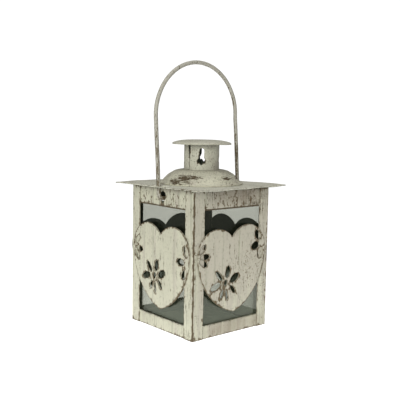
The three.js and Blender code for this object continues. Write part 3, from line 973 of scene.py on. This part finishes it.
def make_bottom_rail(quarter):
    web = WINDOW_BOTTOM - HEM_OUTSIDE
    runs = [(web, 0), (HEM_BEND * math.pi, math.pi), (HEM_STRIP, 0)]
    fold = Fold(runs, (-RAIL_MIDDLE, 0), math.pi / 2)

    def place(u, v, w):
        y, z = fold.place(u, w)
        return turned((-v, y, z), quarter)

    loop = rectangle(0, -RAIL_HALF, fold.length, RAIL_HALF)
    shell = sheet([loop], RAIL_SHEET, 2.5, place, fold.creases())
    wear_and_shade_level(shell, WINDOW_BOTTOM, 0.8)
    # Painted shade where the wall meets the floor, with worn paint on the bottom edge.
    wear_and_shade_level(shell, 0, 1.3)
    node = f"bottom_rail_{SIDES[quarter]}"
    shell.build(f"{node}_sheet", [frame_paint, inner_primer], "body", "frame_paint", node)


def heart_outline(inset):
    lobe = LOBE_RADIUS - inset
    side = SIDE_RADIUS - inset
    side_x = LOBE_X + LOBE_RADIUS - SIDE_RADIUS
    cleft = math.acos(-LOBE_X / lobe)
    tip = math.acos(-side_x / side)
    return closed(
        arc(side_x, LOBE_Z, side, -tip, 0, 44),
        arc(LOBE_X, LOBE_Z, lobe, 0, cleft, 40),
        arc(-LOBE_X, LOBE_Z, lobe, math.pi - cleft, math.pi, 40),
        arc(-side_x, LOBE_Z, side, math.pi, math.pi + tip, 44),
    )


def petal_outline(x, z, petal):
    bearing, turn, reach, length, width = petal
    bearing, turn = math.radians(bearing), math.radians(turn)
    ring = arc(0, 0, 1, 0, 2 * math.pi, 28)[:-1] * (length / 2, width / 2)
    c, s = math.cos(turn), math.sin(turn)
    centre = (x + reach * math.cos(bearing), z + reach * math.sin(bearing))
    return ring @ np.array([(c, s), (-s, c)]) + centre


def make_heart(quarter):
    petals = [petal_outline(x, z, petal) for x, z, group in FLOWERS[quarter] for petal in group]
    loops = trim(heart_outline(0), petals, heart_outline(HEART_RIM))
    middle = HEART_FACE - HEART_SHEET / 2
    centre_z = (WINDOW_BOTTOM + WINDOW_TOP) / 2
    tilt, across, up = HEART_SEATS[quarter]
    c, s = math.cos(math.radians(tilt)), math.sin(math.radians(tilt))

    def place(u, v, w):
        bow = HEART_BOW * max(0.0, 1 - (u / 30) ** 2 - ((v - 48) / 34) ** 2)
        lift = bow + ripple(u, v, quarter * 3.1, 0.25)
        rise = v - centre_z
        x = across + u * c - rise * s
        z = up + centre_z + u * s + rise * c
        return turned((x, -middle - w - lift, z), quarter)

    shell = sheet(loops, HEART_SHEET, 1.7, place)
    node = f"heart_{SIDES[quarter]}"
    shell.build(f"{node}_sheet", [heart_paint, inner_primer], "body", "heart_paint", node)


# ---- Roof -----------------------------------------------------------------------------------


def slot_outline(x):
    straight = SLOT_HALF_LENGTH - SLOT_RADIUS
    return closed(
        arc(x, straight, SLOT_RADIUS, 0, math.pi, 12),
        arc(x, -straight, SLOT_RADIUS, math.pi, 2 * math.pi, 12),
    )


def make_roof_plate():
    outline = rectangle(-ROOF_HALF, -ROOF_HALF, ROOF_HALF, ROOF_HALF)
    opening = arc(0, 0, ROOF_OPENING, 0, 2 * math.pi, 72)[:-1]
    middle = (PLATE_LOW.z + PLATE_HIGH.z) / 2
    c, s = math.cos(ROOF_TURN), math.sin(ROOF_TURN)

    def place(u, v, w):
        overhang = max(0.0, max(abs(u), abs(v)) - BODY_HALF - 1.5) / (ROOF_HALF - BODY_HALF)
        lift = overhang * ripple(u, v, 7.7, 0.9, 21)
        return (u * c - v * s, u * s + v * c, middle + w + lift)

    loops = [outline, opening, slot_outline(-SLOT_X), slot_outline(SLOT_X)]
    shell = sheet(loops, ROOF_SHEET, 2.2, place)
    shell.build("roof_plate_sheet", [plate_paint, inner_primer], "roof", "roof_paint", "roof_plate")


def make_dome():
    foot = DOME_LOW.z
    crown = DOME_HIGH.z
    neck = CHIMNEY_RADIUS + 0.1
    outer = [
        (DOME_RADIUS, foot + 0.7), (28.4, foot + 1.7), (26.9, foot + 3.6), (24.3, crown - 4.2),
        (21.9, crown - 2.5), (19.2, crown - 1), (16.5, crown - 0.35), (neck, crown),
    ]
    outer = smooth_curve(outer, 4)
    under = [(radius - 0.3, z - DOME_SHEET) for radius, z in reversed(outer[4:])]
    under[0] = (neck, crown - DOME_SHEET)
    profile = [(DOME_RADIUS, foot, 0, 0.2), *[(radius, z, 0, 0.1) for radius, z in outer]]
    profile += [(radius, max(z, foot), 1, 0) for radius, z in under]
    profile.append((DOME_RADIUS - 2.9, foot, 1, 0))

    def dents(point):
        away = Vector((point.x, point.y, 0)).normalized()
        inside_edge = min(1.0, max(0.0, (DOME_RADIUS - math.hypot(point.x, point.y)) / 2))
        inside_edge *= min(1.0, max(0.0, (math.hypot(point.x, point.y) - neck) / 2))
        depth = 0.34 * noise.noise(point / 5.5) + 0.24 * noise.noise(point / 2.1) - 0.14
        return away * depth * inside_edge

    shell = revolve(profile, 128, dents)
    shell.build("roof_dome_shell", [dome_paint, inner_primer], "roof", "roof_paint", "roof_dome")


def vent_outline(along, up):
    """A narrow slot that widens downward and ends in three small teeth."""
    left = [(-1.75, 122), (-2.3, 120.6), (-2.95, 119.4), (-2.6, 117.6), (-1.5, 118.1), (0, 115.9)]
    right = [(-x, z) for x, z in reversed(left[:-1])]
    loop = closed(arc(0, 126.5, 1.7, 0, math.pi, 14), left, right)
    return refine(loop, 0.6) + (along, up)


def make_chimney():
    radius = CHIMNEY_RADIUS - CHIMNEY_SHEET / 2
    half = math.pi * radius
    loops = [refine(rectangle(-half, CHIMNEY_LOW.z, half, CHIMNEY_HIGH.z), 1.0)]
    for bearing, up in VENTS:
        from_seam = (bearing - SEAM_BEARING) % 360
        loops.append(vent_outline(half * (from_seam / 180 - 1), up))

    def place(u, v, w):
        opening = min(max((v - SEAM_CLOSED_Z) / (CHIMNEY_HIGH.z - SEAM_CLOSED_Z), 0), 1)
        gap = SEAM_FOOT + (SEAM_TOP - SEAM_FOOT) * opening
        angle = u * (half - gap / 2) / half / radius + math.radians(SEAM_BEARING - 180)
        out = radius + w + ripple(u, v, 2.2, 0.12, 9)
        return STACK + Vector((out * math.cos(angle), out * math.sin(angle), v))

    shell = sheet(loops, CHIMNEY_SHEET, 1.0, place)
    shell.build("chimney_tube", [chimney_paint, inner_primer], "roof", "roof_paint", "chimney")


def make_cap():
    rim_top = CAP_HIGH.z - CAP_CROWN
    rings = np.linspace(0, CAP_RADIUS - 0.8, 14)
    top = [(radius, rim_top + CAP_CROWN * (1 - (radius / CAP_RADIUS) ** 4)) for radius in rings]
    edge = [(CAP_RADIUS - 0.9, CAP_LOW.z), (CAP_RADIUS - 0.25, CAP_LOW.z), (CAP_RADIUS, CAP_LOW.z + 0.35),
            (CAP_RADIUS, CAP_LOW.z + 0.75), (CAP_RADIUS - 0.3, rim_top - 0.05)]
    profile = [(radius, z - CAP_SHEET, 1, 0) for radius, z in top]
    profile[-1] = (CAP_RADIUS - 1.2, rim_top - 0.5, 1, 0)
    profile += [(radius, z, 0, 0.3) for radius, z in edge]
    profile += [(radius, z, 0, 0.05) for radius, z in reversed(top)]

    def sag(point):
        near_rim = (math.hypot(point.x, point.y) / CAP_RADIUS) ** 2
        return Vector((0, 0, -0.12 * near_rim + 0.3 * near_rim * noise.noise(point / 13)))

    shell = revolve(profile, 112, sag)
    shell.build("chimney_cap_shell", [cap_paint, inner_primer], "roof", "roof_paint", "chimney_cap")


# ---- Bail -----------------------------------------------------------------------------------


def bail_centre_line(spacing):
    """From the left inner end, out through the wall, up, over and down to the right inner end.
    The arch is bent back a little from the plane of the legs."""
    half = [(BAIL_END + step, 0) for step in np.arange(0, BAIL_HALF - BAIL_BEND - BAIL_END, spacing)]
    for angle in np.linspace(0, math.pi / 2, 8):
        half.append((BAIL_HALF - BAIL_BEND + BAIL_BEND * math.sin(angle), BAIL_BEND * (1 - math.cos(angle))))
    leg_top = BAIL_LEG_TOP - BAIL_PIVOT_Z
    half += [(BAIL_HALF, rise) for rise in np.arange(BAIL_BEND + spacing, leg_top, spacing)]
    for angle in np.linspace(0, math.pi / 2, 60):
        half.append((BAIL_HALF * math.cos(angle), leg_top + BAIL_HALF * math.sin(angle)))
    points = [(-x, z) for x, z in half] + [(x, z) for x, z in reversed(half[:-1])]
    line = []
    for x, z in points:
        rise = max(0.0, z - leg_top)
        line.append(Vector((x, -rise * math.sin(ARCH_LEAN), z - rise * (1 - math.cos(ARCH_LEAN)))))
    return line


def make_bail():
    line = bail_centre_line(BAIL_SPACING)
    sides = BAIL_SIDES
    shell = Shell()
    for index, centre in enumerate(line):
        along = (line[min(index + 1, len(line) - 1)] - line[max(index - 1, 0)]).normalized()
        across = along.cross(Vector((0, 1, 0)))
        wobble = across * 0.12 * noise.noise(centre / 16) + Vector((0, 0.15, 0)) * noise.noise(centre / 21)
        end = min(index, len(line) - 1 - index)
        radius = (WIRE_RADIUS - 0.1) * (0.7 if end == 0 else 1)
        for side in range(sides):
            angle = 2 * math.pi * side / sides
            out = across * math.cos(angle) + Vector((0, 1, 0)) * math.sin(angle)
            lump = 0.07 * noise.noise((centre + out * 1.5) / 1.7)
            shell.points.append(leaned(centre + wobble + out * (radius + lump)))
            shell.wear_and_shade.append(bail_darkening(centre, math.cos(angle)))
    for index in range(len(line) - 1):
        for side in range(sides):
            other = (side + 1) % sides
            first, second = index * sides, (index + 1) * sides
            shell.add_face((first + side, second + side, second + other, first + other))
    shell.add_face(range(sides))
    last = (len(line) - 1) * sides
    shell.add_face([last + side for side in reversed(range(sides))])
    shell.build("bail_wire", [bail_paint], "bail", "bail_paint", "bail")


def bail_darkening(centre, outward):
    """How dark the wire is: darkest where it passes through the wall, darker along its inner side, and with
    worn patches low on the legs.
    """
    if abs(centre.x) < RAIL_FACE + 0.5 and centre.z < BAIL_BEND:
        return 1
    low = min(1, max(0, (62 - centre.z) / 40))
    return 0.04 + 0.16 * low + 0.1 * max(0, -outward) ** 3


def leaned(point):
    c, s = math.cos(BAIL_LEAN), math.sin(BAIL_LEAN)
    return Vector((point.x, point.y * c + point.z * s, BAIL_PIVOT_Z + point.z * c - point.y * s))


# ---- CAD nodes that stay --------------------------------------------------------------------


def finish_node(node, material, bevel):
    """A CAD node whose shape is right gets soft edges and its material."""
    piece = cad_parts[node]
    piece.data.materials.clear()
    piece.data.materials.append(material)
    weld = piece.modifiers.new("weld", "WELD")
    weld.merge_threshold = 1e-6
    edge = piece.modifiers.new("edge", "BEVEL")
    edge.width = bevel * MM
    edge.segments = 2
    edge.limit_method = "ANGLE"


# ---- Stage ----------------------------------------------------------------------------------

CAMERA_AZIMUTH = math.radians(-40.74)
CAMERA_ELEVATION = math.radians(6.42)
CAMERA_ROLL = math.radians(1.03)
CAMERA_DISTANCE = 0.4904
CAMERA_TARGET = Vector((-0.0001, 0.0001, 0.0903))
CAMERA_LENS = 60.86

FLOOR_RADIUS = 0.34

# Glow of the floor against distance from the lantern, in metres.
GLOW = {"From Min": 0.05, "From Max": 0.3, "To Min": 1.2, "To Max": 1}

WORLD_LIGHT = 0.22
BACKDROP_LIGHT = 1.1
LIGHTS_AIM = Vector((0, 0, 0.08))
# Name, place in metres, diameter in metres, power in watts and colour.
LIGHTS = [
    ("key", (-1.14, -0.77, 0.5), 0.8, 12, (0.99, 1, 0.95)),
    ("fill", (0.7, -1.4, 0.5), 0.9, 0.8, (1, 0.95, 0.95)),
    ("top", (-0.1, -0.1, 1.3), 1, 6, (1, 1, 1)),
]


def make_camera():
    camera = bpy.data.objects.new("camera", bpy.data.cameras.new("camera"))
    bpy.context.scene.collection.objects.link(camera)
    camera.data.sensor_width = 36
    camera.data.lens = CAMERA_LENS
    camera.data.clip_start = 0.01
    across = math.cos(CAMERA_ELEVATION)
    back = Vector((
        math.sin(CAMERA_AZIMUTH) * across,
        -math.cos(CAMERA_AZIMUTH) * across,
        math.sin(CAMERA_ELEVATION),
    ))
    camera.location = CAMERA_TARGET + back * CAMERA_DISTANCE
    camera.rotation_mode = "QUATERNION"
    camera.rotation_quaternion = (-back).to_track_quat("-Z", "Y") @ Quaternion((0, 0, 1), CAMERA_ROLL)
    bpy.context.scene.camera = camera


def make_floor():
    """A white floor that glows like a lit table, most of all round the lantern."""
    mesh = bpy.data.meshes.new("floor")
    around = np.linspace(0, 2 * math.pi, 64)[:-1]
    ring = [(FLOOR_RADIUS * math.cos(angle), FLOOR_RADIUS * math.sin(angle), 0) for angle in around]
    mesh.from_pydata(ring, [], [tuple(range(len(ring)))])
    floor = bpy.data.objects.new("floor", mesh)
    bpy.context.scene.collection.objects.link(floor)
    material = bpy.data.materials.new("floor_card")
    material.use_nodes = True
    shader = material.node_tree.nodes["Principled BSDF"]
    shader.inputs["Base Color"].default_value = (0.3, 0.3, 0.3, 1)
    shader.inputs["Roughness"].default_value = 0.9
    shader.inputs["Emission Color"].default_value = (1, 1, 1, 1)
    coordinates = material.node_tree.nodes.new("ShaderNodeTexCoord")
    distance = material.node_tree.nodes.new("ShaderNodeVectorMath")
    distance.operation = "LENGTH"
    glow = material.node_tree.nodes.new("ShaderNodeMapRange")
    glow.interpolation_type = "SMOOTHSTEP"
    for name, value in GLOW.items():
        glow.inputs[name].default_value = value
    material.node_tree.links.new(coordinates.outputs["Object"], distance.inputs[0])
    material.node_tree.links.new(distance.outputs["Value"], glow.inputs["Value"])
    material.node_tree.links.new(glow.outputs["Result"], shader.inputs["Emission Strength"])
    mesh.materials.append(material)


def make_world():
    """A white backdrop that lights the object less than it shows."""
    world = bpy.data.worlds.new("studio")
    bpy.context.scene.world = world
    world.use_nodes = True
    tree = world.node_tree
    soft = tree.nodes["Background"]
    soft.inputs["Color"].default_value = (1, 0.98, 1, 1)
    soft.inputs["Strength"].default_value = WORLD_LIGHT
    backdrop = tree.nodes.new("ShaderNodeBackground")
    backdrop.inputs["Color"].default_value = (1, 1, 1, 1)
    backdrop.inputs["Strength"].default_value = BACKDROP_LIGHT
    path = tree.nodes.new("ShaderNodeLightPath")
    mix = tree.nodes.new("ShaderNodeMixShader")
    tree.links.new(path.outputs["Is Camera Ray"], mix.inputs["Fac"])
    tree.links.new(soft.outputs[0], mix.inputs[1])
    tree.links.new(backdrop.outputs[0], mix.inputs[2])
    tree.links.new(mix.outputs[0], tree.nodes["World Output"].inputs["Surface"])


def make_light(name, place, size, power, colour):
    light = bpy.data.lights.new(name, "AREA")
    light.shape = "DISK"
    light.size = size
    light.energy = power
    light.color = colour
    lamp = bpy.data.objects.new(name, light)
    lamp.location = place
    lamp.rotation_mode = "QUATERNION"
    lamp.rotation_quaternion = (LIGHTS_AIM - lamp.location).to_track_quat("-Z", "Y")
    bpy.context.scene.collection.objects.link(lamp)


# ---- Assembly -------------------------------------------------------------------------------

for wall in range(4):
    make_post(wall)
    make_top_rail(wall)
    make_bottom_rail(wall)
    make_heart(wall)
    finish_node(f"pane_{SIDES[wall]}", pane_glass, 0.3)
    finish_node(f"lower_clip_{CORNERS[wall]}", corner_primer, 0.12)
    finish_node(f"upper_clip_{CORNERS[wall]}", corner_primer, 0.12)
finish_node("floor_pan", floor_primer, 0.15)
make_roof_plate()
make_dome()
make_chimney()
make_cap()
make_bail()

make_camera()
make_floor()
make_world()
for light in LIGHTS:
    make_light(*light)
bpy.context.scene.view_settings.view_transform = "Standard"
